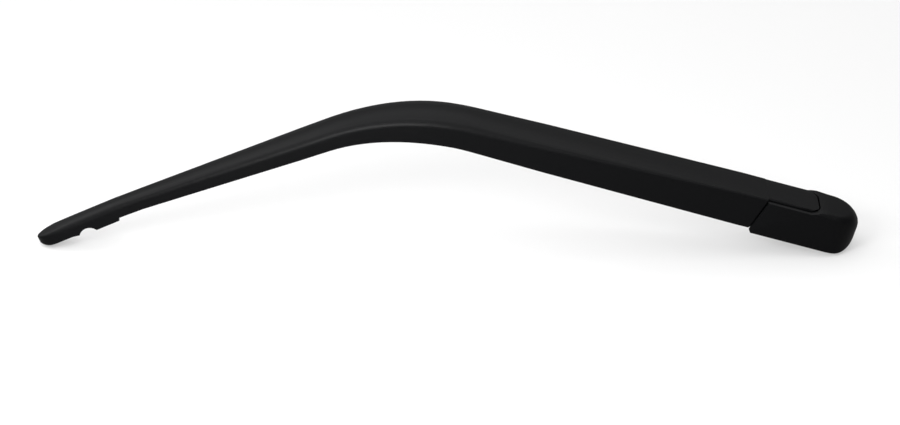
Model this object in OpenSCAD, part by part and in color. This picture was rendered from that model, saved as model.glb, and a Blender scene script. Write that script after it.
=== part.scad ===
// Rear wiper arm: an arched moulded arm hinged on a die-cast mounting head, pressed down by a spring.
// Z points up along the wiper spindle, which stands at the origin, and the arm reaches towards -X.
// The root parts are drawn in the root frame: a is the distance along the root run and n is square to it.

/* [Arm line] */
// Horizontal distance from the spindle to where the mid-lines of the two long runs would cross
knee_reach = 210.5; // [190:0.5:230]
// Height of the arm's mid-line above the foot of the hub, on the spindle axis
spine_height = 12.6; // [12:0.05:14]
// Rise of the root run
root_pitch = 16.27; // [12:0.01:18]
// Fall of the outer run
outer_pitch = 20.96; // [18:0.01:24]
// Fall of the tip, which carries the blade
tip_pitch = 24.6; // [21:0.1:28]
// Radius of the main bend on the mid-line
bend_radius = 112; // [100:1:130]
// Radius of the slight bend before the tip
tip_bend_radius = 160; // [120:5:200]
// Length of the outer run, from the crossing of the mid-lines to the bend before the tip
outer_run = 142; // [130:1:155]
// Length of the tip past its bend
tip_run = 48.3; // [46:0.1:50]

/* [Arm section] */
// Depth of the root run beside the head
root_depth = 16.4; // [15.5:0.1:17.5]
// Depth in the main bend
bend_depth = 11.7; // [11:0.1:13]
// Depth just past the main bend
neck_depth = 8.3; // [7.6:0.1:10]
// Depth before the tip
tip_depth = 6.2; // [6:0.1:7.4]
// Width over the top edges at the root
root_width = 23.2; // [22:0.1:24]
// Greatest width over the top edges, before the main bend
bend_width = 26.8; // [25:0.1:28]
// Width where the arm begins to narrow, in the main bend
hip_width = 26; // [22:0.1:27]
// Width just past the main bend
neck_width = 20.5; // [18:0.1:22]
// Width before the tip
tip_width = 12.4; // [11:0.1:13]
// Thickness of the arm's side walls
wall = 1.9; // [1.6:0.1:2.2]
// Thickness of the arm's top
top_wall = 2; // [1.8:0.1:2.4]
// Outward slope of the side walls
wall_slope = 5; // [3:0.5:7]
// Rounding of the top edges on the root run
crease_radius = 1; // [0.6:0.1:1.6]
// Rounding of the top edges in the main bend
bend_edge_radius = 3.4; // [1.6:0.1:4]
// Rounding of the top edges on the outer run
soft_radius = 3.4; // [2.2:0.1:4]

/* [Arm tip] */
// How far the blade seat's walls hang below the rest of the arm
lip_drop = 1.4; // [1:0.1:2.2]
// Distance from the nose back to the step where the blade seat begins
lip_reach = 42.1; // [40:0.1:44]
// Distance from the nose back to the blade pivot's seat
seat_reach = 25; // [24:0.1:30]
// Radius of the blade pivot's half-round seat
seat_radius = 5.4; // [5:0.1:6]
// Length of the rounded nose
nose_length = 10.5; // [10:0.5:13]

/* [Head cover] */
// Depth of the cover's flanks, square to the top
cover_depth = 18.5; // [18:0.1:20]
// Half width of the cover at its lower edge
cover_half_width = 13.9; // [13.6:0.1:14.5]
// Half width of the cover at its upper edge
cover_top_half = 12.9; // [12.6:0.1:13.1]
// Rounding of the cover's upper edge along the flanks
cover_edge_radius = 1.6; // [1.2:0.1:2]
// Rounding of the cover's upper edge where its sides begin to close in
end_side_radius = 3; // [3:0.1:5]
// Thickness of the cover
cover_wall = 1.6; // [1.4:0.1:1.7]
// How far the cover's top stands above the tongue
cover_rise = 0.4; // [0.1:0.1:1]
// How far the flanks' upper edges lie below the tongue
flank_drop = 1.2; // [0.8:0.1:2]
// Reach of the flanks at the level of the top
flank_reach = 38.5; // [36:0.1:40]
// How far the flanks' front edge leans forward for each millimetre of depth
flank_lean = 0.313; // [0.2:0.001:0.5]
// Rounding of the cover's round end seen from the side, at its foot
end_foot_radius = 9.5; // [8:0.5:11]
// Rounding of the cover's round end seen from the side, at its top
end_top_radius = 6.5; // [5:0.5:8]

/* [Hinge] */
// Distance of the hinge pin from the spindle, along the root run
pivot_reach = 19.8; // [19.5:0.1:21]
// Depth of the hinge pin below the top
pivot_drop = 5.9; // [5.8:0.1:6.4]
// Radius of the hinge pin
pivot_pin_radius = 2.5; // [2:0.1:2.6]
// Running clearance of the hinge pin in its bushes
pivot_clearance = 0.05; // [0.02:0.01:0.09]
// Outer radius of the bushes' sleeves
bush_radius = 3.4; // [3.3:0.1:3.6]
// Radius of the bushes' flanges
bush_flange_radius = 4.2; // [3.9:0.1:4.2]
// Thickness of the bushes' flanges
bush_flange = 0.8; // [0.6:0.1:0.9]
// Half width of the tongue on the arm's root
tongue_half_width = 9.9; // [9.7:0.1:10]
// How far the tongue reaches past the hinge pin
tongue_overhang = 6.9; // [6:0.1:8]
// Thickness of the tongue
tongue_wall = 1.6; // [1.3:0.1:1.7]
// Corner radius of the tongue, seen from above
tongue_corner = 5; // [3:0.1:6]
// Gap between the tongue and the cover
tongue_gap = 0.7; // [0.4:0.05:0.8]
// Thickness of the arm's cheeks
cheek_wall = 2; // [1.8:0.1:2.2]
// Radius of the arm's cheeks round the hinge pin
cheek_radius = 5.8; // [5.4:0.1:6]

/* [Mounting head] */
// Height of the hub
hub_height = 8.5; // [8:0.1:9]
// Outer radius of the hub
hub_radius = 8; // [7.8:0.1:8.4]
// Radius of the hub's plain mouth, which goes round the spindle's shank
spindle_radius = 5.4; // [5.2:0.05:5.6]
// Length of that mouth
land_length = 3; // [2.5:0.1:4]
// Radius of the tapered socket above it, at its lower end
taper_radius = 4.8; // [4.4:0.05:4.9]
// Number of grooves in the tapered socket
taper_grooves = 24; // [12:2:30]
// Depth of those grooves
groove_depth = 0.45; // [0.3:0.05:0.6]
// Outer face of the head's cheeks, from the middle
lever_outer = 7; // [6.6:0.1:7]
// Thickness of the head's cheeks
lever_wall = 3; // [2.4:0.1:3.2]
// Radius of the head's cheeks round the hinge pin
lever_eye = 4; // [3.8:0.1:4.1]
// Distance of the hook pin from the spindle, along the root run
hook_reach = 21.5; // [20.5:0.1:22]
// Depth of the hook pin below the hinge pin
hook_drop = 8; // [7.8:0.1:8.2]
// Radius of the hook pin
hook_pin_radius = 2; // [1.6:0.1:2.1]

/* [Spring] */
// Distance of the anchor pin from the spindle, along the root run
anchor_reach = 108; // [104:0.5:112]
// Height of the anchor pin in the root frame
anchor_height = 11.5; // [10.5:0.1:12.5]
// Radius of the anchor pin
anchor_pin_radius = 2; // [1.6:0.1:2.1]
// Outer radius of the spring
spring_radius = 4.2; // [3.8:0.1:4.3]
// Diameter of the spring's wire
wire = 1.6; // [1.3:0.1:1.7]
// Distance from one turn to the next
turn_pitch = 1.95; // [1.9:0.05:2.1]
// Distance from the hook pin to the spring's near loop, bridged by the link
link_reach = 30; // [26:0.5:34]
// Width of the spring's link
link_width = 6.4; // [5.6:0.1:6.6]
// Thickness of the spring's link
link_wall = 1.5; // [1.2:0.1:1.6]
// Play between the hook pin and the link's hook
hook_play = 1.1; // [1.05:0.05:1.2]

/* [Hidden] */
$fn = 48;
rim_steps = 6;
bend_steps = 16;
outer_steps = 8;
eps = 0.02;
slip = 0.03;

// Levels in the root frame
mid_n = spine_height * cos(root_pitch);
spine_start = spine_height * sin(root_pitch);
top_n = mid_n + root_depth / 2;
foot_n = mid_n - root_depth / 2;
pivot_n = top_n - pivot_drop;
hook_n = pivot_n - hook_drop;
cover_foot_n = top_n - cover_depth;
flank_top_n = top_n - flank_drop;
cheek_inner = tongue_half_width - cheek_wall;
tongue_end = pivot_reach - tongue_overhang;

// Arc lengths along the mid-line, from the spindle
bend_turn = root_pitch + outer_pitch;
bend_half = bend_radius * tan(bend_turn / 2);
tip_turn = tip_pitch - outer_pitch;
tip_half = tip_bend_radius * tan(tip_turn / 2);
s_bend = knee_reach / cos(root_pitch) - bend_half;
s_outer = s_bend + bend_radius * bend_turn * PI / 180;
s_tip_bend = s_outer + outer_run - bend_half - tip_half;
s_tip = s_tip_bend + tip_bend_radius * tip_turn * PI / 180;
s_nose = s_tip + tip_run - tip_half;
s_shoulder = flank_reach - spine_start;
s_full = s_shoulder + 12;
s_step = s_nose - lip_reach;
s_seat = s_nose - seat_reach;
s_round = s_nose - nose_length;
s_wide = 145;
s_narrow_from = s_bend + 10;
seat_sink = seat_radius - 1.4;
nose_hollow = 0.5;
s_narrow_to = s_outer + 8;

// Point and slope of the mid-line: [x, z, rise]
function ahead(from, length) = [
    from[0] - length * cos(from[2]),
    from[1] + length * sin(from[2]),
    from[2]
];
function along_arc(from, radius, angle) = [
    from[0] - radius * (sin(from[2]) - sin(from[2] - angle)),
    from[1] + radius * (cos(from[2] - angle) - cos(from[2])),
    from[2] - angle
];
bend_from = ahead([0, spine_height, root_pitch], s_bend);
bend_to = along_arc(bend_from, bend_radius, bend_turn);
tip_from = ahead(bend_to, s_tip_bend - s_outer);
tip_to = along_arc(tip_from, tip_bend_radius, tip_turn);
function spine(s) =
    s < s_bend ? ahead([0, spine_height, root_pitch], s)
    : s < s_outer ? along_arc(bend_from, bend_radius, (s - s_bend) / bend_radius * 180 / PI)
    : s < s_tip_bend ? ahead(bend_to, s - s_outer)
    : s < s_tip ? along_arc(tip_from, tip_bend_radius, (s - s_tip_bend) / tip_bend_radius * 180 / PI)
    : ahead(tip_to, s - s_tip);

// Sizes of the arm's section along the mid-line
function ease(t) = t <= 0 ? 0 : t >= 1 ? 1 : t * t * (3 - 2 * t);
function share(s, from, to) = (s - from) / (to - from);
function mix(t, from, to) = from + (to - from) * min(max(t, 0), 1);
function depth(s) =
    s < s_narrow_from ? mix(share(s, s_full, s_narrow_from), root_depth, bend_depth)
    : s < s_narrow_to ? mix(ease(share(s, s_narrow_from, s_narrow_to)), bend_depth, neck_depth)
    : mix(share(s, s_narrow_to, s_tip_bend), neck_depth, tip_depth);
function width(s) =
    s < s_wide ? mix(share(s, s_shoulder, s_wide), root_width, bend_width)
    : s < s_narrow_from ? mix(share(s, s_wide, s_narrow_from), bend_width, hip_width)
    : s < s_narrow_to ? mix(ease(share(s, s_narrow_from, s_narrow_to)), hip_width, neck_width)
    : mix(share(s, s_narrow_to, s_tip_bend), neck_width, tip_width);
function edge_radius(s) =
    s < s_bend ? mix(share(s, s_full, s_bend), crease_radius, bend_edge_radius)
    : mix(share(s, s_bend, s_outer), bend_edge_radius, soft_radius);
function nose(s) = s < s_round ? 1 : sqrt(max(0.05, 1 - pow(share(s, s_round, s_nose), 2)));
function lip(s) = s < s_step || s > s_seat ? 0 : lip_drop;

// Outer outline of a section, as [y, n] from one lower edge over the top to the other
function half_outline(half, top, foot, radius, flare) = concat(
    [[half + (top - foot) * flare, foot]],
    [for (i = [0 : rim_steps]) let (t = i / rim_steps * 90)
        [half - radius + radius * cos(t) + (radius - radius * sin(t)) * flare, top - radius + radius * sin(t)]]
);
function mirrored(points) = [for (i = [len(points) - 1 : -1 : 0]) [-points[i][0], points[i][1]]];
function outline(half, top, foot, radius, flare) = concat(
    half_outline(half, top, foot, radius, flare),
    mirrored(half_outline(half, top, foot, radius, flare))
);
flare = tan(wall_slope);
function outer_section(s) = outline(
    width(s) / 2 * nose(s),
    depth(s) / 2 * mix(share(s, s_round, s_nose + 8), 1, 0.35),
    -(depth(s) / 2 + lip(s)) * mix(ease(share(s, s_nose - 6, s_nose + 4)), 1, 0.2),
    min(edge_radius(s), depth(s) * 0.45) * mix(share(s, s_round, s_nose), 1, 0.6) * nose(s),
    flare
);
// The channel ends in a wall behind the nose, where its outline closes onto the lower edge
s_front_wall = s_round + 1.5;
function open(s) = s < s_front_wall ? 1 : 0;
function inner_section(s) = let (
    outer = outer_section(s),
    foot = outer[0][1],
    half = width(s) / 2 * nose(s) - wall,
    top = mix(open(s), foot, depth(s) / 2 - top_wall),
    radius = max(edge_radius(s) - wall, 0.5) * open(s)
) open(s) > 0 ? outline(half, top, foot, radius, flare)
    : [
        for (i = [1 : len(outer)])
            let (t = 180 * i / (len(outer) + 1))
            [outer[0][0] * 0.9 * cos(t), foot + nose_hollow * sin(t)]
    ];

// A section of the arm stood on its mid-line, leaning with the shoulder when lean is not 0
function stood(s, points, lean) = [
    for (p = points) let (
        at = spine(s + lean * (depth(s) / 2 - p[1]))
    ) [at[0] + p[1] * sin(at[2]), p[0], at[1] + p[1] * cos(at[2])]
];

shell_stations = concat(
    [s_full, s_shoulder + 36, s_shoulder + 66, s_wide, (s_wide + s_bend) / 2, s_bend - 8],
    [for (i = [0 : bend_steps]) s_bend + (s_outer - s_bend) * i / bend_steps],
    [for (i = [1 : outer_steps]) s_outer + (s_step - s_outer - eps) * i / outer_steps],
    [for (i = [0 : 4]) s_step + (s_front_wall - s_step - eps) * i / 4],
    [for (u = [0, 0.2, 0.38, 0.54, 0.68, 0.8, 0.89, 0.96, 1]) s_front_wall + 0.3 + (s_nose - 0.35 - s_front_wall) * u]
);
function ring(s, lean) = concat(stood(s, outer_section(s), lean), stood(s, inner_section(s), lean));
function skin(rings, ring_size) = [
    for (r = [0 : rings - 2])
        for (i = [0 : ring_size - 1])
            let (j = (i + 1) % ring_size, a = r * ring_size, b = a + ring_size)
            for (f = [[a + i, b + j, b + i], [a + i, a + j, b + j]])
                f
];

// Root parts worked out from the sizes above
shoulder_top = flank_reach + tongue_gap;
tongue_root = shoulder_top + 1.5;
shoulder_foot = shoulder_top + flank_lean * root_depth;
shoulder_block = shoulder_foot + 10;
shoulder_half = root_width / 2 - 0.3;
shoulder_inset = 1.5;
cheek_outer = tongue_half_width - 0.1;
shoulder_rise = 0.6;
cheek_dip = 1;
shoulder_step = 0.6;
tongue_edge = 1.2;
stop_reach = pivot_reach + lever_eye + 1.8;
stop_n = pivot_n - 3.4;
anchor_boss = anchor_pin_radius + 2.2;
anchor_gap = spring_radius + 0.4;
// The pin's blind holes end inside the bosses, a little short of the side walls, in whole tenths
anchor_depth = floor(10 * (width(anchor_reach - spine_start) / 2 - wall - 0.6)) / 10;
cover_top_n = top_n + cover_rise;
cover_flare = (cover_half_width - cover_top_half) / (cover_top_n - cover_foot_n);
cover_block = flank_reach + flank_lean * cover_depth + 4;
flank_corner = 1.4;
flank_foot = flank_reach + flank_lean * (cover_depth - flank_corner);
end_start = 5;
end_reach = -9.2;
end_length = end_start - end_reach;
end_steps = 24;
edge_steps = 6;
edge_grow = 10;
dip_room = 1.2;
dip_lip = 0.6;
lug_half = 10.2;
lug_length = 4;
lug_foot = 3;
lug_top = 6.5;
lever_foot_n = cover_foot_n + 0.6;
hook_eye = hook_pin_radius + 1.4;
web_reach = 14.5;
taper = 0.127;
rib_wall = 1.4;
rib_rise = 3;
// Each rib stands midway between two of the stations that shape the shell
rib_stations = concat(
    [s_wide + 11],
    [for (i = [0.5 : 5 : 15.5]) s_bend + (s_outer - s_bend) * i / bend_steps],
    [for (i = [1.5 : 2 : 7.5]) s_outer + (s_step - s_outer) * i / outer_steps]
);
spar_stations = [for (i = [0 : 24]) s_bend + 3 + (s_step - s_bend - 7) * i / 24];
pull_length = norm([anchor_reach - hook_reach, anchor_height - hook_n]);
pull_angle = atan((anchor_height - hook_n) / (anchor_reach - hook_reach));
loop_radius = anchor_pin_radius + wire / 2 + 0.1;
coil_radius = spring_radius - wire / 2;
coil_start = 6.4;
coil_end = pull_length - link_reach;
turns = floor((coil_end - 6 - coil_start) / turn_pitch);
turn_step = (coil_end - 6 - coil_start) / turns;
hook_inner = hook_pin_radius + hook_play;
link_hook = pull_length - hook_play + 0.25;
link_flat = 7;
link_rise = 7;
link_hole_radius = wire / 2 + 0.7;
link_hole = coil_end + loop_radius - wire / 2 - 0.25 + link_hole_radius;
link_end = link_hole - link_hole_radius - 2.4;

// A point at a height above the mid-line, as [x, z]
function level(s, n) = let (at = spine(s)) [at[0] + n * sin(at[2]), at[1] + n * cos(at[2])];
module on_section(s) {
    at = spine(s);
    translate([at[0], 0, at[1]])
    rotate([0, at[2], 0])
    rotate([90, 0, 90])
    children();
}

module in_root_frame() {
    rotate([0, root_pitch, 0])
    children();
}
// Turns a drawing in [distance from the spindle, height] of the root frame into a slab across the arm
module across(from, to) {
    translate([0, to, 0])
    rotate([90, 0, 0])
    mirror([1, 0, 0])
    linear_extrude(to - from)
    children();
}
module pin_across(reach, height, radius, from, to) {
    translate([-reach, to, height])
    rotate([90, 0, 0])
    cylinder(r = radius, h = to - from);
}
module both_sides() {
    children();
    mirror([0, 1, 0])
    children();
}

module shell_skin() {
    ring_size = 4 * (rim_steps + 2);
    half_ring = ring_size / 2;
    first = ring(s_shoulder + tongue_gap, flank_lean);
    rings = concat([first], [for (s = shell_stations) ring(s, 0)]);
    // The second half of each ring is the channel, so it runs back from the other lower edge
    order = [for (i = [0 : ring_size - 1]) i < half_ring ? i : ring_size - 1 - (i - half_ring)];
    points = [for (r = rings) for (i = order) r[i]];
    last = (len(rings) - 1) * ring_size;
    caps = [
        for (i = [0 : half_ring - 2])
            let (k = ring_size - 1 - i)
            for (f = [[i, k - 1, i + 1], [i, k, k - 1]])
                f
    ];
    polyhedron(
        points = points,
        faces = concat(
            skin(len(rings), ring_size),
            caps,
            [for (f = caps) [last + f[2], last + f[1], last + f[0]]]
        ),
        convexity = 8
    );
}

module shell_ribs() {
    for (s = rib_stations)
        on_section(s)
        translate([0, 0, -rib_wall / 2])
        linear_extrude(rib_wall)
        polygon(outline(
            width(s) / 2 - wall / 2,
            depth(s) / 2 - top_wall / 2,
            -depth(s) / 2 + rib_rise,
            max(edge_radius(s) - wall / 2, 0.5),
            flare
        ));
    translate([0, rib_wall / 2, 0])
    rotate([90, 0, 0])
    linear_extrude(rib_wall)
    polygon(concat(
        [for (s = spar_stations) level(s, depth(s) / 2 - top_wall / 2)],
        [for (i = [len(spar_stations) - 1 : -1 : 0]) level(spar_stations[i], -depth(spar_stations[i]) / 2 + rib_rise)]
    ));
}

// The tongue, rounded at its end seen from above and along its upper edges
module tongue() {
    intersection() {
        translate([-tongue_root, 0, 0])
        rotate([90, 0, 90])
        linear_extrude(tongue_root)
        polygon(outline(tongue_half_width, top_n - slip, top_n - tongue_wall, tongue_edge, 0));
        translate([0, 0, pivot_n])
        linear_extrude(top_n)
        tongue_plan(0, tongue_root);
    }
}
// Outline of the tongue seen from above, larger by a gap
module tongue_plan(gap, reach) {
    half = tongue_half_width + gap;
    corner = tongue_corner + gap;
    near = tongue_end - gap;
    translate([-reach, -half])
    square([reach - near - corner, 2 * half]);
    translate([-reach, corner - half])
    square([reach - near, 2 * (half - corner)]);
    for (side = [-1, 1])
        translate([-near - corner, side * (half - corner)])
        circle(r = corner);
}

// One of the arm's cheeks, which carries a bush, and the shoulder that joins it to the side wall
module cheek() {
    across(cheek_inner, cheek_outer)
    union() {
        translate([pivot_reach, pivot_n])
        circle(r = cheek_radius);
        polygon([
            [pivot_reach - cheek_radius * 0.5, top_n - tongue_wall / 2],
            [shoulder_block, top_n - tongue_wall],
            [shoulder_block, foot_n + shoulder_rise],
            [shoulder_foot + 0.6, foot_n + shoulder_rise],
            [shoulder_foot - 1, foot_n - cheek_dip],
            [shoulder_foot - 7, foot_n - cheek_dip],
            [pivot_reach, pivot_n - cheek_radius]
        ]);
        translate([pivot_reach - cheek_radius, pivot_n])
        square([cheek_radius, top_n - tongue_wall / 2 - pivot_n]);
    }
    across(cheek_inner + 0.3, shoulder_half)
    polygon([
        [shoulder_top + shoulder_step + flank_lean * shoulder_inset, top_n - shoulder_inset],
        [shoulder_block - 1, top_n - shoulder_inset],
        [shoulder_block - 1, foot_n + shoulder_rise + 0.2],
        [shoulder_top + shoulder_step + flank_lean * (root_depth - shoulder_rise), foot_n + shoulder_rise + 0.2]
    ]);
}

module arm_shell() {
    color([0.11, 0.11, 0.12])
    difference() {
        union() {
            shell_skin();
            shell_ribs();
            in_root_frame() {
                tongue();
                both_sides() cheek();
                across(-tongue_half_width + 0.5, tongue_half_width - 0.5)
                translate([stop_reach, stop_n])
                square([rib_wall * 1.5, top_n - tongue_wall / 2 - stop_n]);
                both_sides() pin_across(anchor_reach, anchor_height, anchor_boss, anchor_gap, anchor_depth + 1);
            }
        }
        in_root_frame() {
            pin_across(pivot_reach, pivot_n, bush_radius, -root_width, root_width);
            pin_across(anchor_reach, anchor_height, anchor_pin_radius, -anchor_depth, anchor_depth);
        }
        seat = level(s_seat, -depth(s_seat) / 2 - seat_sink);
        translate([seat[0], tip_width, seat[1]])
        rotate([90, 0, 0])
        cylinder(r = seat_radius, h = 2 * tip_width);
    }
}

// Stops round the cover seen from above, as [distance from the spindle, turn round the end]
side_stops = [cover_block, for (i = [4 : -1 : 1]) end_start + edge_grow * i / 4];
cover_stops = concat(
    [for (a = side_stops) [a, 0]],
    [for (i = [0 : end_steps]) [end_start, 180 * i / end_steps]],
    [for (i = [len(side_stops) - 1 : -1 : 0]) [side_stops[i], 180]]
);
// A point of the cover's skin at a stop: on the lower edge where roll is negative, or rolled inwards over its
// upper edge, whose radius grows round the end
function cover_point(stop, roll, inset) = let (
    turn = stop[1],
    side_radius = mix(ease(share(stop[0], end_start + edge_grow, end_start)), cover_edge_radius, end_side_radius),
    radius = max(mix(pow(sin(turn), 2), side_radius, end_top_radius) - inset, 0.6),
    n = roll < 0 ? cover_foot_n - (inset > 0 ? 1 : 0) : cover_top_n - inset - radius * (1 - sin(roll)),
    half = cover_top_half + cover_flare * (cover_top_n - n),
    out = unit([half * sin(turn), end_length * cos(turn)]),
    inwards = inset + (roll < 0 ? 0 : radius * (1 - cos(roll)))
) [-stop[0] + end_length * sin(turn) - inwards * out[0], half * cos(turn) - inwards * out[1], n];
// The cover's outside, or its inside where inset is its wall
module cover_form(inset) {
    size = len(cover_stops);
    rolls = concat([-1], [for (i = [0 : edge_steps]) 90 * i / edge_steps]);
    top_ring = (len(rolls) - 1) * size;
    caps = [
        for (i = [0 : floor(size / 2) - 1])
            let (k = size - 1 - i)
            for (f = k - i > 2 ? [[i, i + 1, k], [i + 1, k - 1, k]] : [[i, i + 1, k]])
                f
    ];
    polyhedron(
        points = [for (roll = rolls) for (stop = cover_stops) cover_point(stop, roll, inset)],
        faces = concat(
            skin(len(rolls), size),
            [for (f = caps) [f[2], f[1], f[0]]],
            [for (f = caps) [top_ring + f[0], top_ring + f[1], top_ring + f[2]]]
        ),
        convexity = 8
    );
}

module head_cover() {
    color([0.1, 0.1, 0.11])
    in_root_frame()
    difference() {
        union() {
            difference() {
                cover_form(0);
                cover_form(cover_wall);
            }
            // Ribs that stand on the hub's side lugs
            both_sides()
            intersection() {
                cover_form(cover_wall / 2);
                rotate([0, -root_pitch, 0])
                translate([-rib_wall / 2, lug_half - 1.2, lug_top])
                cube([rib_wall, root_width, 2 * root_depth]);
            }
        }
        // Opening round the tongue, and a rebate under its edge so that the tongue can dip past it
        translate([0, 0, pivot_n])
        linear_extrude(top_n)
        tongue_plan(tongue_gap, cover_block + 1);
        translate([dip_room, 0, pivot_n - 1])
        linear_extrude(cover_top_n - dip_lip - pivot_n + 1)
        tongue_plan(tongue_gap - 0.1, cover_block);
        // Lowered upper edges of the flanks
        across(-root_width, root_width)
        polygon([
            [tongue_end - 2, cover_top_n + 1],
            [tongue_end - 1, cover_top_n],
            [tongue_end + 4, flank_top_n],
            [cover_block + 1, flank_top_n],
            [cover_block + 1, cover_top_n + 1]
        ]);
        // Lower edge, which rises round the end
        across(-root_width, root_width)
        difference() {
            translate([end_reach - 2, cover_foot_n - 2])
            square([end_foot_radius + 2, end_foot_radius + 2]);
            translate([end_reach + end_foot_radius, cover_foot_n + end_foot_radius])
            circle(r = end_foot_radius, $fn = 96);
        }
        // Slanted front edge of the flanks
        across(-root_width, root_width)
        polygon([
            [flank_reach - 2 * flank_lean, top_n + 2],
            [flank_foot, cover_foot_n + flank_corner],
            [flank_foot - 1.3 * flank_corner, cover_foot_n - 1],
            [cover_block + 20, cover_foot_n - 1],
            [cover_block + 20, top_n + 2]
        ]);
    }
}

module lever() {
    union() {
        translate([pivot_reach, pivot_n])
        circle(r = lever_eye);
        translate([hook_reach, hook_n])
        circle(r = hook_eye);
        polygon([
            [2, lever_foot_n],
            [hook_reach, hook_n - hook_eye],
            [hook_reach + hook_eye, hook_n],
            [stop_reach + 2, stop_n - 3],
            [stop_reach + 2, stop_n],
            [pivot_reach + lever_eye, stop_n],
            [pivot_reach + lever_eye, pivot_n],
            [pivot_reach - lever_eye * 0.8, pivot_n + lever_eye * 0.6],
            [hub_radius + 2.4, hub_height - 2.4],
            [2, hub_height - 0.7]
        ]);
    }
}

module mounting_head() {
    color([0.45, 0.46, 0.48])
    difference() {
        union() {
            cylinder(r = hub_radius, h = hub_height);
            translate([-lug_length / 2, -lug_half, lug_foot])
            cube([lug_length, 2 * lug_half, lug_top - lug_foot]);
            in_root_frame() {
                both_sides()
                across(lever_outer - lever_wall, lever_outer)
                lever();
                across(-lever_outer, lever_outer)
                polygon([
                    [2, lever_foot_n],
                    [web_reach, lever_foot_n],
                    [web_reach, lever_foot_n + 2.4],
                    [2, lever_foot_n + 3]
                ]);
            }
        }
        translate([0, 0, -1])
        cylinder(r = spindle_radius, h = land_length + 1);
        socket();
        in_root_frame() {
            pin_across(pivot_reach, pivot_n, pivot_pin_radius, -root_width, root_width);
            pin_across(hook_reach, hook_n, hook_pin_radius, -root_width, root_width);
        }
    }
}
// Tapered, grooved socket for the splined spindle
module socket() {
    depth = hub_height - land_length;
    translate([0, 0, land_length - eps])
    cylinder(r1 = taper_radius, r2 = taper_radius - depth * taper, h = depth + 1);
    for (i = [0 : taper_grooves - 1])
        rotate([0, 0, i * 360 / taper_grooves])
        translate([taper_radius, 0, land_length])
        rotate([0, -atan(taper), 0])
        translate([0, 0, -1])
        linear_extrude(depth + 3)
        circle(r = groove_depth, $fn = 4);
}

module pivot_pin() {
    color([0.7, 0.7, 0.72])
    in_root_frame()
    pin_across(pivot_reach, pivot_n, pivot_pin_radius, -tongue_half_width, tongue_half_width);
}

module hook_pin() {
    color([0.7, 0.7, 0.72])
    in_root_frame()
    pin_across(hook_reach, hook_n, hook_pin_radius, -lever_outer, lever_outer);
}

module spring_anchor_pin() {
    color([0.7, 0.7, 0.72])
    in_root_frame()
    pin_across(anchor_reach, anchor_height, anchor_pin_radius, -anchor_depth, anchor_depth);
}

module bush() {
    color([0.85, 0.84, 0.78])
    in_root_frame()
    difference() {
        union() {
            pin_across(pivot_reach, pivot_n, bush_radius, cheek_inner, tongue_half_width);
            pin_across(pivot_reach, pivot_n, bush_flange_radius, cheek_inner - bush_flange, cheek_inner);
        }
        pin_across(pivot_reach, pivot_n, pivot_pin_radius + pivot_clearance, 0, root_width);
    }
}
module pivot_bush_left() {
    bush();
}
module pivot_bush_right() {
    mirror([0, 1, 0])
    bush();
}

// Drawn from the anchor pin, with X along the pull towards the hook pin
module in_pull_frame() {
    in_root_frame()
    translate([-anchor_reach, 0, anchor_height])
    rotate([0, pull_angle, 0])
    children();
}

function bezier(p, t) =
    pow(1 - t, 3) * p[0] + 3 * pow(1 - t, 2) * t * p[1] + 3 * (1 - t) * t * t * p[2] + pow(t, 3) * p[3];
function on_loop(x, angle) = [x + loop_radius * cos(angle), 0, loop_radius * sin(angle)];
function on_coil(x, angle) = [x + turn_step * angle / 360, coil_radius * sin(angle), -coil_radius * cos(angle)];
wire_steps = 12;
lead_in = [on_loop(0, 290), on_loop(0, 290) + [2, 0, 0.6], on_coil(coil_start, 0) - [0, 2.2, 0], on_coil(coil_start, 0)];
lead_out = [
    on_coil(coil_start, turns * 360),
    on_coil(coil_start, turns * 360) + [0, 2.2, 0],
    on_loop(coil_end, 250) - [2, 0, -0.6],
    on_loop(coil_end, 250)
];
wire_path = concat(
    [for (a = [30 : 26 : 290]) on_loop(0, a)],
    [for (i = [1 : 5]) bezier(lead_in, i / 6)],
    [for (i = [0 : turns * wire_steps]) on_coil(coil_start, i * 360 / wire_steps)],
    [for (i = [1 : 5]) bezier(lead_out, i / 6)],
    [for (a = [250 : 26 : 510]) on_loop(coil_end, a)]
);
function unit(v) = v / norm(v);
function heading(path, i) = unit(path[min(i + 1, len(path) - 1)] - path[max(i - 1, 0)]);
// A side vector carried along the path without twist
function carried(path) = [
    for (
        i = 0, side = unit(cross(heading(path, 0), [0, 1, 0]));
        i < len(path);
        i = i + 1,
        side = i < len(path) ? unit(side - (side * heading(path, i)) * heading(path, i)) : side
    ) side
];
wire_sides = 8;
module swept_wire(path, radius) {
    sides = carried(path);
    polyhedron(
        points = [
            for (i = [0 : len(path) - 1])
                let (up = cross(sides[i], heading(path, i)))
                for (k = [0 : wire_sides - 1])
                    let (t = k * 360 / wire_sides)
                    path[i] + radius * (cos(t) * sides[i] + sin(t) * up)
        ],
        faces = concat(
            skin(len(path), wire_sides),
            [[for (k = [wire_sides - 1 : -1 : 0]) k]],
            [[for (k = [0 : wire_sides - 1]) (len(path) - 1) * wire_sides + k]]
        ),
        convexity = 20
    );
}

module tension_spring() {
    color([0.62, 0.63, 0.65])
    in_pull_frame()
    swept_wire(wire_path, wire / 2);
}

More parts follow.
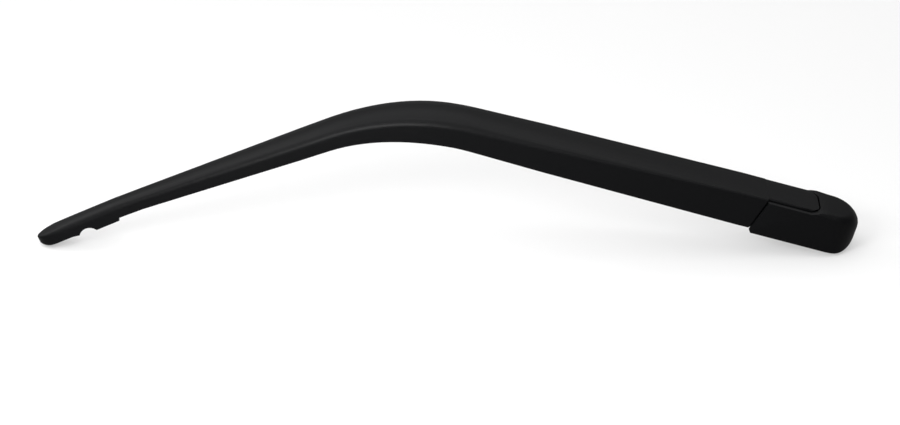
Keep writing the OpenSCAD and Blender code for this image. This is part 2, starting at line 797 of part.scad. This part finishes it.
module spring_link() {
    color([0.6, 0.6, 0.62])
    in_pull_frame()
    difference() {
        translate([0, link_width / 2, 0])
        rotate([90, 0, 0])
        linear_extrude(link_width)
        union() {
            translate([link_hook, 0])
            difference() {
                circle(r = hook_inner + link_wall);
                circle(r = hook_inner);
                polygon([[0, 0], [0, -20], [-20, -20], [-20, 20], [-3.5, 20]]);
            }
            polygon([
                [link_hook + eps, -hook_inner],
                [link_hook - link_flat, -hook_inner],
                [link_hook - link_flat - link_rise, link_wall / 2],
                [link_end, link_wall / 2],
                [link_end, -link_wall / 2],
                [link_hook - link_flat - link_rise - 0.6, -link_wall / 2],
                [link_hook - link_flat - 0.4, -hook_inner - link_wall],
                [link_hook + eps, -hook_inner - link_wall]
            ]);
        }
        translate([link_hole, 0, -link_width])
        cylinder(r = link_hole_radius, h = 2 * link_width);
    }
}

arm_shell();
head_cover();
mounting_head();
pivot_pin();
pivot_bush_left();
pivot_bush_right();
tension_spring();
spring_link();
spring_anchor_pin();
hook_pin();
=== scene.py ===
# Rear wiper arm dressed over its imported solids. Lengths are metres, +Z runs up the wiper spindle and the arm
# reaches towards -X. Each section makes one piece, or a group of like pieces, in the order they go together.
import math

import bpy
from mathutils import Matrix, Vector


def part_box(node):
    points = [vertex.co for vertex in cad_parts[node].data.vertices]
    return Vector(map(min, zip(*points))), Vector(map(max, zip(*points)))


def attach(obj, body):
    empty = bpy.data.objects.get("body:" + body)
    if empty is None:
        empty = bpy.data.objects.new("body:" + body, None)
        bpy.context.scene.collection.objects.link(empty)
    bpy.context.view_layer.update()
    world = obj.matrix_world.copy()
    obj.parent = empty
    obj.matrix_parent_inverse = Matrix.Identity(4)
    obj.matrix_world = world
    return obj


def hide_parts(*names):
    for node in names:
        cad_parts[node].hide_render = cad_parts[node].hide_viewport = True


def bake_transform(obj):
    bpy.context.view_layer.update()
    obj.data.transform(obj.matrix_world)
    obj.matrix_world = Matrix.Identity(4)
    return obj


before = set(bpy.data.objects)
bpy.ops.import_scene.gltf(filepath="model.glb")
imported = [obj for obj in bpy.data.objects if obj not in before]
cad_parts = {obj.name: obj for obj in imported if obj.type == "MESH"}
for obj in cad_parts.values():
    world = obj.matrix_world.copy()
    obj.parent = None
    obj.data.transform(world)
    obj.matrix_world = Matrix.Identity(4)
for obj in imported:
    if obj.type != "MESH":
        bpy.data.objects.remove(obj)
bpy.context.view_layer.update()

# The mounting head is a zinc-aluminium die casting: a hub that clamps on the spindle's cone, two side lugs that
# the cover stands on, and two cheeks that carry the hinge pin and the hook pin. Its edges are rounded by the die
# and its skin is blasted.
MILLIMETRE = 0.001
CAST_SHEEN = (0.36, 0.37, 0.385, 1.0)
CAST_SHADE = (0.25, 0.255, 0.265, 1.0)
CAST_ROUNDING = 0.22 * MILLIMETRE
WELD_GAP = 0.002 * MILLIMETRE
FLAT_WITHIN = math.radians(0.4)


def lone(piece):
    """Leaves piece as the only selected object."""
    bpy.ops.object.select_all(action="DESELECT")
    piece.hide_set(False)
    piece.select_set(True)
    bpy.context.view_layer.objects.active = piece
    return piece


def cast_from(node, name):
    """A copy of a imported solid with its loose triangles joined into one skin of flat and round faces."""
    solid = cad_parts[node]
    piece = bpy.data.objects.new(name, solid.data.copy())
    bpy.context.scene.collection.objects.link(piece)
    lone(piece)
    piece.data.materials.clear()
    bpy.ops.object.mode_set(mode="EDIT")
    bpy.ops.mesh.select_all(action="SELECT")
    bpy.ops.mesh.customdata_custom_splitnormals_clear()
    bpy.ops.mesh.remove_doubles(threshold=WELD_GAP)
    bpy.ops.mesh.dissolve_limited(angle_limit=FLAT_WITHIN)
    bpy.ops.object.mode_set(mode="OBJECT")
    return piece


def round_edges(piece, width, sharper_than, steps=2):
    """Breaks every edge that is sharper than the given angle, as the mould or the tumbling barrel does."""
    lone(piece)
    rounding = piece.modifiers.new("edge rounding", "BEVEL")
    rounding.width = width
    rounding.segments = steps
    rounding.limit_method = "ANGLE"
    rounding.angle_limit = math.radians(sharper_than)
    rounding.harden_normals = False
    rounding.use_clamp_overlap = True
    rounding.miter_outer = "MITER_ARC"
    bpy.ops.object.modifier_apply(modifier=rounding.name)


def smooth_below(piece, angle):
    lone(piece)
    bpy.ops.object.shade_smooth_by_angle(angle=math.radians(angle), keep_sharp_edges=False)


def finish_material(name):
    """A new surface finish and its shader, ready for its colours and its grain."""
    finish = bpy.data.materials.new(name)
    finish.use_nodes = True
    nodes = finish.node_tree.nodes
    return finish, nodes, finish.node_tree.links, nodes["Principled BSDF"]


def add_grain(nodes, links, shader, size, height, stretch=(1.0, 1.0, 1.0)):
    """Fine relief over the surface. size is the grain's width and height its depth, both in metres."""
    place = nodes.new("ShaderNodeTexCoord")
    turn = nodes.new("ShaderNodeMapping")
    turn.inputs["Scale"].default_value = stretch
    grain = nodes.new("ShaderNodeTexNoise")
    grain.inputs["Scale"].default_value = 1.0 / size
    grain.inputs["Detail"].default_value = 3.0
    relief = nodes.new("ShaderNodeBump")
    relief.inputs["Strength"].default_value = 1.0
    relief.inputs["Distance"].default_value = height
    links.new(place.outputs["Object"], turn.inputs["Vector"])
    links.new(turn.outputs["Vector"], grain.inputs["Vector"])
    links.new(grain.outputs["Fac"], relief.inputs["Height"])
    links.new(relief.outputs["Normal"], shader.inputs["Normal"])
    return place, grain


def mottle(nodes, links, place, patch, low, high, socket):
    """Lets a colour wander between two shades in patches of the given size."""
    cloud = nodes.new("ShaderNodeTexNoise")
    cloud.inputs["Scale"].default_value = 1.0 / patch
    cloud.inputs["Detail"].default_value = 2.0
    shades = nodes.new("ShaderNodeValToRGB")
    shades.color_ramp.elements[0].position = 0.35
    shades.color_ramp.elements[0].color = low
    shades.color_ramp.elements[1].position = 0.65
    shades.color_ramp.elements[1].color = high
    links.new(place.outputs["Object"], cloud.inputs["Vector"])
    links.new(cloud.outputs["Fac"], shades.inputs["Fac"])
    links.new(shades.outputs["Color"], socket)


def cast_metal():
    finish, nodes, links, shader = finish_material("blasted_die_casting")
    shader.inputs["Metallic"].default_value = 0.85
    shader.inputs["Roughness"].default_value = 0.52
    place, grain = add_grain(nodes, links, shader, size=0.35 * MILLIMETRE, height=0.03 * MILLIMETRE)
    mottle(nodes, links, place, 4 * MILLIMETRE, CAST_SHADE, CAST_SHEEN, shader.inputs["Base Color"])
    return finish


head = cast_from("mounting_head", "head_casting")
round_edges(head, CAST_ROUNDING, sharper_than=35)
smooth_below(head, 40)
head.data.materials.append(cast_metal())
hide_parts("mounting_head")
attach(head, "head")

# Hinge pin, hook pin and anchor pin are turned from bright steel rod. Each end has a small chamfer from the lathe,
# and all three are pressed into their holes.
PIN_CHAMFER = 0.35 * MILLIMETRE
PIN_STEEL = (0.5, 0.5, 0.51, 1.0)


def bright_steel():
    finish, nodes, links, shader = finish_material("turned_steel")
    shader.inputs["Base Color"].default_value = PIN_STEEL
    shader.inputs["Metallic"].default_value = 1.0
    shader.inputs["Roughness"].default_value = 0.28
    add_grain(nodes, links, shader, size=0.25 * MILLIMETRE, height=0.003 * MILLIMETRE, stretch=(1.0, 0.05, 1.0))
    return finish


def turned_pin(node, body, steel):
    """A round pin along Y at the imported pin's place, with turned ends."""
    low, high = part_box(node)
    bpy.ops.object.select_all(action="DESELECT")
    bpy.ops.mesh.primitive_cylinder_add(
        vertices=64,
        radius=(high.z - low.z) / 2,
        depth=high.y - low.y,
        location=(low + high) / 2,
        rotation=(math.radians(90), 0, 0),
    )
    pin = bpy.context.active_object
    pin.name = node + "_turned"
    bpy.ops.object.transform_apply(location=True, rotation=True, scale=True)
    for face in pin.data.polygons:
        face.select = abs(face.normal.y) > 0.9
    bpy.ops.object.mode_set(mode="EDIT")
    bpy.ops.mesh.bevel(offset=PIN_CHAMFER, segments=1, affect="EDGES")
    bpy.ops.object.mode_set(mode="OBJECT")
    smooth_below(pin, 30)
    pin.data.materials.append(steel)
    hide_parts(node)
    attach(pin, body)


pin_steel = bright_steel()
turned_pin("pivot_pin", "head", pin_steel)
turned_pin("hook_pin", "head", pin_steel)
turned_pin("spring_anchor_pin", "arm", pin_steel)

# Two flanged bushes of natural bearing plastic line the arm's cheeks. They are moulded, and pushed in from the
# inside until their flanges meet the cheeks.
BUSH_TONE = (0.55, 0.5, 0.38, 1.0)
BUSH_ROUNDING = 0.12 * MILLIMETRE


def bearing_plastic():
    finish, nodes, links, shader = finish_material("bearing_plastic")
    shader.inputs["Base Color"].default_value = BUSH_TONE
    shader.inputs["Roughness"].default_value = 0.45
    add_grain(nodes, links, shader, size=0.5 * MILLIMETRE, height=0.006 * MILLIMETRE)
    return finish


bush_plastic = bearing_plastic()
for side in ("left", "right"):
    bush = cast_from("pivot_bush_" + side, "bush_" + side)
    round_edges(bush, BUSH_ROUNDING, sharper_than=35)
    smooth_below(bush, 35)
    bush.data.materials.append(bush_plastic)
    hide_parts("pivot_bush_" + side)
    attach(bush, "arm")

# The tension spring is cold-wound from round spring wire, with a loop at each end. It is oiled, and it darkened a
# little when it was tempered.
WIRE_STEEL = (0.2, 0.2, 0.21, 1.0)
WIRE_TEMPERED = (0.12, 0.12, 0.125, 1.0)
WIRE_SWELL = 0.06 * MILLIMETRE


def spring_wire():
    finish, nodes, links, shader = finish_material("tempered_wire")
    shader.inputs["Metallic"].default_value = 1.0
    shader.inputs["Roughness"].default_value = 0.33
    place, grain = add_grain(nodes, links, shader, size=0.2 * MILLIMETRE, height=0.004 * MILLIMETRE)
    mottle(nodes, links, place, 6 * MILLIMETRE, WIRE_TEMPERED, WIRE_STEEL, shader.inputs["Base Color"])
    return finish


# The coil and its end loops are the imported spring, thickened a little and rounded by one level of subdivision
spring = cast_from("tension_spring", "spring_coil")
bpy.ops.object.mode_set(mode="EDIT")
bpy.ops.mesh.select_all(action="SELECT")
bpy.ops.mesh.tris_convert_to_quads(face_threshold=math.radians(60), shape_threshold=math.radians(60))
bpy.ops.transform.shrink_fatten(value=WIRE_SWELL)
bpy.ops.object.mode_set(mode="OBJECT")
rounding = spring.modifiers.new("round wire", "SUBSURF")
rounding.levels = 1
rounding.render_levels = 1
bpy.ops.object.modifier_apply(modifier=rounding.name)
smooth_below(spring, 60)
spring.data.materials.append(spring_wire())
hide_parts("tension_spring")
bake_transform(spring)

# The spring's link is stamped from zinc-plated strip: curled round the hook pin at one end, with a hole for the
# spring's loop at the other.
STRIP_TONE = (0.42, 0.42, 0.4, 1.0)
STRIP_ROUNDING = 0.15 * MILLIMETRE


def plated_strip():
    finish, nodes, links, shader = finish_material("zinc_plated_strip")
    shader.inputs["Base Color"].default_value = STRIP_TONE
    shader.inputs["Metallic"].default_value = 1.0
    shader.inputs["Roughness"].default_value = 0.38
    add_grain(nodes, links, shader, size=0.3 * MILLIMETRE, height=0.004 * MILLIMETRE, stretch=(1.0, 0.1, 1.0))
    return finish


link = cast_from("spring_link", "link_strip")
round_edges(link, STRIP_ROUNDING, sharper_than=40)
smooth_below(link, 35)
link.data.materials.append(plated_strip())
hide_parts("spring_link")
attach(link, "link")

# The arm is one moulding in glass-filled black plastic, open below: a long arched channel with a tongue and two
# cheeks at its root, ribs inside, and the blade's seat at its tip. The skin has the fine satin grain of the mould.
ARM_BLACK = (0.0028, 0.0029, 0.0032, 1.0)
ARM_ROUGHNESS = 0.42
ARM_SHINE = 0.084


def satin_moulding(name, black, roughness, shine):
    finish, nodes, links, shader = finish_material(name)
    shader.inputs["Base Color"].default_value = black
    shader.inputs["Roughness"].default_value = roughness
    shader.inputs["Specular IOR Level"].default_value = shine
    add_grain(nodes, links, shader, size=0.28 * MILLIMETRE, height=0.006 * MILLIMETRE)
    return finish


# The top is crowned past the root: its slope grows to CROWN_SLOPE where it meets the rounding of the edges
CROWN_SLOPE = math.radians(18)
CROWN_LIMIT = 2 * MILLIMETRE
CROWN_FROM, CROWN_FULL = -0.046, -0.110
CROWN_COLUMN = 1.6 * MILLIMETRE
# Distance along X, half width of the top, and rounding of its edges
TOP_SIZES = (
    (-0.043, 0.0118, 0.0010),
    (-0.137, 0.0134, 0.0027),
    (-0.178, 0.0130, 0.0034),
    (-0.227, 0.0112, 0.0034),
    (-0.247, 0.01035, 0.0034),
    (-0.339, 0.0062, 0.0028),
    (-0.377, 0.0062, 0.0028),
    (-0.388, 0.0014, 0.0010),
)


def top_size(x):
    """Half width and edge rounding of the top at a distance along X."""
    for (near, wide, soft), (far, narrow, tight) in zip(TOP_SIZES, TOP_SIZES[1:]):
        if x > far:
            share = min(max((near - x) / (near - far), 0), 1)
            return wide + (narrow - wide) * share, soft + (tight - soft) * share
    return TOP_SIZES[-1][1:]


def crown_rise(x, y):
    """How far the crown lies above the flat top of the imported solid."""
    half, rounding = top_size(x)
    slope = CROWN_SLOPE * min(max((CROWN_FROM - x) / (CROWN_FROM - CROWN_FULL), 0), 1)
    seam = half - rounding * (1 - math.sin(slope))
    if abs(y) >= seam:
        return 0
    past_flat = max(abs(y) - (half - rounding), 0)
    flat = math.sqrt(rounding**2 - past_flat**2) - rounding
    arch = seam * math.tan(slope) / 2 * (1 - (y / seam) ** 2) - rounding * (1 - math.cos(slope))
    return max(arch - flat, 0)


def select_top(piece, flatter_than):
    """Selects the highest face and all that run on from it with no bend above the angle."""
    lone(piece)
    bpy.ops.object.mode_set(mode="EDIT")
    bpy.ops.mesh.select_mode(type="FACE")
    bpy.ops.mesh.select_all(action="DESELECT")
    bpy.ops.object.mode_set(mode="OBJECT")
    level_faces = [face for face in piece.data.polygons if face.normal.z > 0.98]
    max(level_faces, key=lambda face: face.center.z).select = True
    bpy.ops.object.mode_set(mode="EDIT")
    bpy.ops.mesh.faces_select_linked_flat(sharpness=math.radians(flatter_than))


arm = cast_from("arm_shell", "arm_moulding")
for column in range(-7, 8):
    select_top(arm, 5)
    bpy.ops.mesh.bisect(plane_co=(0, column * CROWN_COLUMN, 0), plane_no=(0, 1, 0))
    bpy.ops.object.mode_set(mode="OBJECT")
select_top(arm, 16)
bpy.ops.object.mode_set(mode="OBJECT")
crown = arm.vertex_groups.new(name="crown")
for vertex in [vertex for vertex in arm.data.vertices if vertex.select]:
    crown.add([vertex.index], crown_rise(vertex.co.x, vertex.co.y) / CROWN_LIMIT, "REPLACE")
crowning = arm.modifiers.new("crowned top", "DISPLACE")
crowning.direction = "Z"
crowning.mid_level = 0
crowning.strength = CROWN_LIMIT
crowning.vertex_group = crown.name
bpy.ops.object.modifier_apply(modifier=crowning.name)
smooth_below(arm, 25)
arm.data.materials.append(satin_moulding("satin_black_arm", ARM_BLACK, ARM_ROUGHNESS, ARM_SHINE))
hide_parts("arm_shell")
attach(arm, "arm")

# The cover is a thin black moulding that clips over the head. It is cut out round the arm's tongue, and its two
# flanks run forward along the arm's cheeks.
COVER_BLACK = (0.0027, 0.0028, 0.0031, 1.0)
COVER_ROUGHNESS = 0.42
COVER_SHINE = 0.076
COVER_ROUNDING = 0.2 * MILLIMETRE

cover = cast_from("head_cover", "cover_moulding")
round_edges(cover, COVER_ROUNDING, sharper_than=35)
smooth_below(cover, 35)
cover.data.materials.append(satin_moulding("satin_black_cover", COVER_BLACK, COVER_ROUGHNESS, COVER_SHINE))
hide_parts("head_cover")
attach(cover, "cover")

# The studio: a pale floor, soft strip lights in an arch over it, and a camera that looks down on the arm from its
# side, a long way off through a long lens.
FLOOR_TONE, MIRRORED_TONE = 0.35, 0.2
FLOOR_GLOW, MIRRORED_GLOW = 0.46, 0.1
BACKDROP_LIGHT, BACKDROP_SHOWN = 0.2, 0.8
LOOK_AT = Vector((-0.1861, 0.0, 0.0175))
CAMERA_RISE = math.radians(28)
CAMERA_DISTANCE = 1.829
CAMERA_LENS = 150

bpy.ops.object.select_all(action="DESELECT")
bpy.ops.mesh.primitive_plane_add(size=30, location=(LOOK_AT.x, 0, -0.0002))
floor = bpy.context.active_object
floor.name = "studio_floor"
floor_finish, nodes, links, shader = finish_material("pale_floor")
shader.inputs["Roughness"].default_value = 0.9
shader.inputs["Specular IOR Level"].default_value = 0.1
shader.inputs["Emission Color"].default_value = (1.0, 1.0, 1.0, 1.0)
# A black part shows the table in its edges, so the table is darker in what is mirrored than in the picture itself
ray = nodes.new("ShaderNodeLightPath")
for shown, mirrored, socket in (
    (FLOOR_TONE, MIRRORED_TONE, shader.inputs["Base Color"]),
    (FLOOR_GLOW, MIRRORED_GLOW, shader.inputs["Emission Strength"]),
):
    level = nodes.new("ShaderNodeMapRange")
    level.inputs["To Min"].default_value = shown
    level.inputs["To Max"].default_value = mirrored
    links.new(ray.outputs["Is Glossy Ray"], level.inputs["Value"])
    links.new(level.outputs["Result"], socket)
floor.data.materials.append(floor_finish)

camera_data = bpy.data.cameras.new("camera")
camera_data.lens = CAMERA_LENS
camera_data.sensor_width = 36
camera_data.clip_end = 100
camera = bpy.data.objects.new("camera", camera_data)
camera.location = LOOK_AT + CAMERA_DISTANCE * Vector((0, -math.cos(CAMERA_RISE), math.sin(CAMERA_RISE)))
camera.rotation_euler = (math.radians(90) - CAMERA_RISE, 0, 0)
bpy.context.scene.collection.objects.link(camera)
bpy.context.scene.camera = camera


def softbox(name, at, aim, width, depth, power):
    light = bpy.data.lights.new(name, "AREA")
    light.shape = "RECTANGLE"
    light.size = width
    light.size_y = depth
    light.energy = power
    lamp = bpy.data.objects.new(name, light)
    lamp.location = at
    lamp.rotation_euler = (Vector(aim) - Vector(at)).to_track_quat("-Z", "Y").to_euler()
    bpy.context.scene.collection.objects.link(lamp)


# A row of strip lights arches over the table from behind the arm to the front, and three more stand at its left
for name, behind, height, depth, power in (
    ("back_strip", 1.4, 1.4, 0.7, 7.5),
    ("back_top_strip", 0.8, 1.75, 0.7, 9),
    ("top_strip", 0.0, 1.9, 0.7, 11),
    ("front_top_strip", -0.8, 1.75, 0.7, 12),
    ("front_strip", -1.45, 1.3, 0.5, 8),
):
    softbox(name, (-0.2, behind, height), (-0.2, 0, 0), 2.2, depth, power)
softbox("left_back_softbox", (-1.5, 0.9, 1.0), (-0.2, 0, 0), 0.9, 0.9, 9)
softbox("left_top_softbox", (-1.5, 0.0, 1.3), (-0.2, 0, 0), 0.9, 0.9, 6)
softbox("table_softbox", (-0.33, -0.3, 0.28), (-0.31, -0.22, 0), 0.3, 0.16, 2.4)

world = bpy.data.worlds.new("studio_air")
bpy.context.scene.world = world
world.use_nodes = True
nodes = world.node_tree.nodes
air = nodes["Background"]
air.inputs["Color"].default_value = (1.0, 1.0, 1.0, 1.0)
# The backdrop is pale where the camera sees it, and gives the part only a little light
ray = nodes.new("ShaderNodeLightPath")
backdrop = nodes.new("ShaderNodeMapRange")
backdrop.inputs["To Min"].default_value = BACKDROP_LIGHT
backdrop.inputs["To Max"].default_value = BACKDROP_SHOWN
world.node_tree.links.new(ray.outputs["Is Camera Ray"], backdrop.inputs["Value"])
world.node_tree.links.new(backdrop.outputs["Result"], air.inputs["Strength"])
bpy.context.scene.view_settings.view_transform = "Standard"
